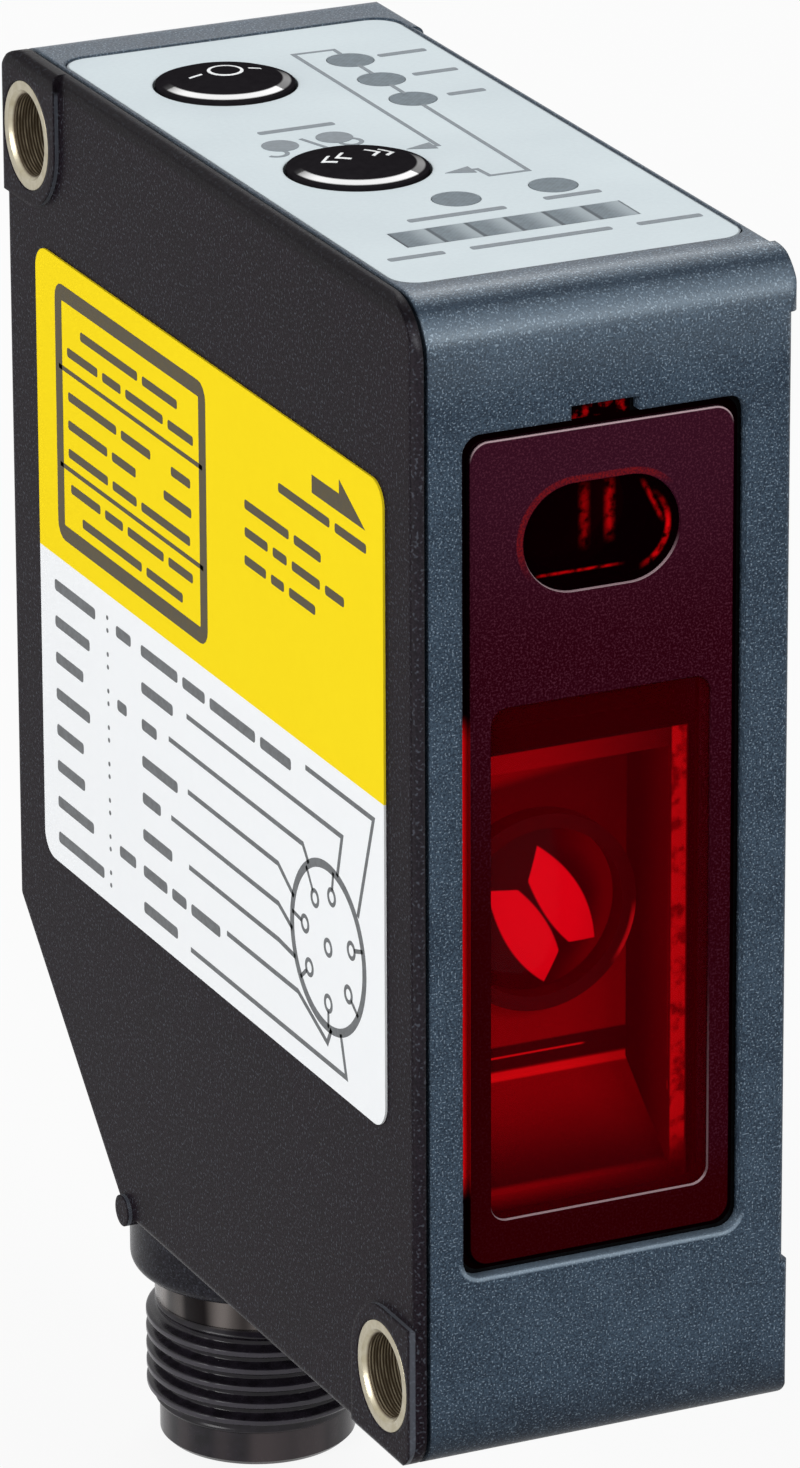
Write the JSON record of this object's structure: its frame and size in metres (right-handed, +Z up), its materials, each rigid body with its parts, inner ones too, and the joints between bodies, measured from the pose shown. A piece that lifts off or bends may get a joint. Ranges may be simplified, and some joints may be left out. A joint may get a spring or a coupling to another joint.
{
  "type": "laser displacement sensor",
  "caption": "Slim upright laser distance sensor with a dark red front window, domed top keys, indicator lamps, through mounting holes and a swivelling threaded connector on a slanted corner.",
  "frame": {"origin": "on the axis of the lower front mounting hole, half way across the housing", "axes": "+Z up towards the keys, +Y from the window face to the rear, +X along the mounting holes from the labelled cover to the mounting side"},
  "size_m": [0.021, 0.05, 0.0782],
  "materials": {
    "housing_plastic": "fine spark-textured glass-filled moulding",
    "cover_plastic": "fine spark-textured moulding",
    "seal_rubber": "soft black rubber",
    "label_foil": "satin printed foil",
    "bush_metal": "nickel-plated, finely turned",
    "window_filter": "red filter, matt face with polished panes",
    "panel_foil": "satin printed foil",
    "key_plastic": "polished domed caps",
    "guide_plastic": "smoked clear moulding",
    "board_laminate": "circuit board laminate",
    "chip_plastic": "moulded packages",
    "lamp_plastic": "clear lamp bodies",
    "screw_steel": "zinc-plated",
    "optics_casting": "dark painted casting",
    "laser_brass": "turned",
    "lens_glass": "polished",
    "connector_plastic": "fine textured moulding",
    "shell_metal": "black-finished metal",
    "contact_gold": "gold-plated"
  },
  "bodies": {
    "sensor_body": {"housing": "housing_plastic", "side_cover": "cover_plastic", "cover_seal": "seal_rubber", "side_label": "label_foil", "upper_bush": "bush_metal", "lower_bush": "bush_metal", "front_window": "window_filter", "window_gasket": "seal_rubber", "top_panel": "panel_foil", "light_guide": "guide_plastic", "display_board": "board_laminate", "key_switches": "chip_plastic", "indicator_lamps": "lamp_plastic", "board_header": "chip_plastic", "main_board": "board_laminate", "main_chips": "chip_plastic", "board_screws": "screw_steel", "optics_frame": "optics_casting", "optics_screws": "screw_steel", "laser_holder": "laser_brass", "laser_diode": "laser_brass", "collimator_lens": "lens_glass", "receiver_lens": "lens_glass", "lens_ring": "optics_casting", "sensor_board": "board_laminate", "image_sensor": "chip_plastic"},
    "connector": {"connector_elbow": "connector_plastic", "connector_shell": "shell_metal", "contact_insert": "connector_plastic", "contact_pins": "contact_gold", "swivel_seal": "seal_rubber", "swivel_clip": "screw_steel"},
    "set_key": {"set_key": "key_plastic"},
    "select_key": {"select_key": "key_plastic"}
  },
  "joints": [
    {"name": "connector_swivel", "type": "hinge", "parent": "sensor_body", "child": "connector", "pos_m": [0, 0.0387, 0.00215], "axis": [0, 0.7071, -0.7071], "range_deg": [-90, 180]},
    {"name": "set_key_press", "type": "slide", "parent": "sensor_body", "child": "set_key", "axis": [0, 0, -1], "range_m": [0, 0.00035], "stiffness_N_per_m": 1500},
    {"name": "select_key_press", "type": "slide", "parent": "sensor_body", "child": "select_key", "axis": [0, 0, -1], "range_m": [0, 0.00035], "stiffness_N_per_m": 1500}
  ]
}
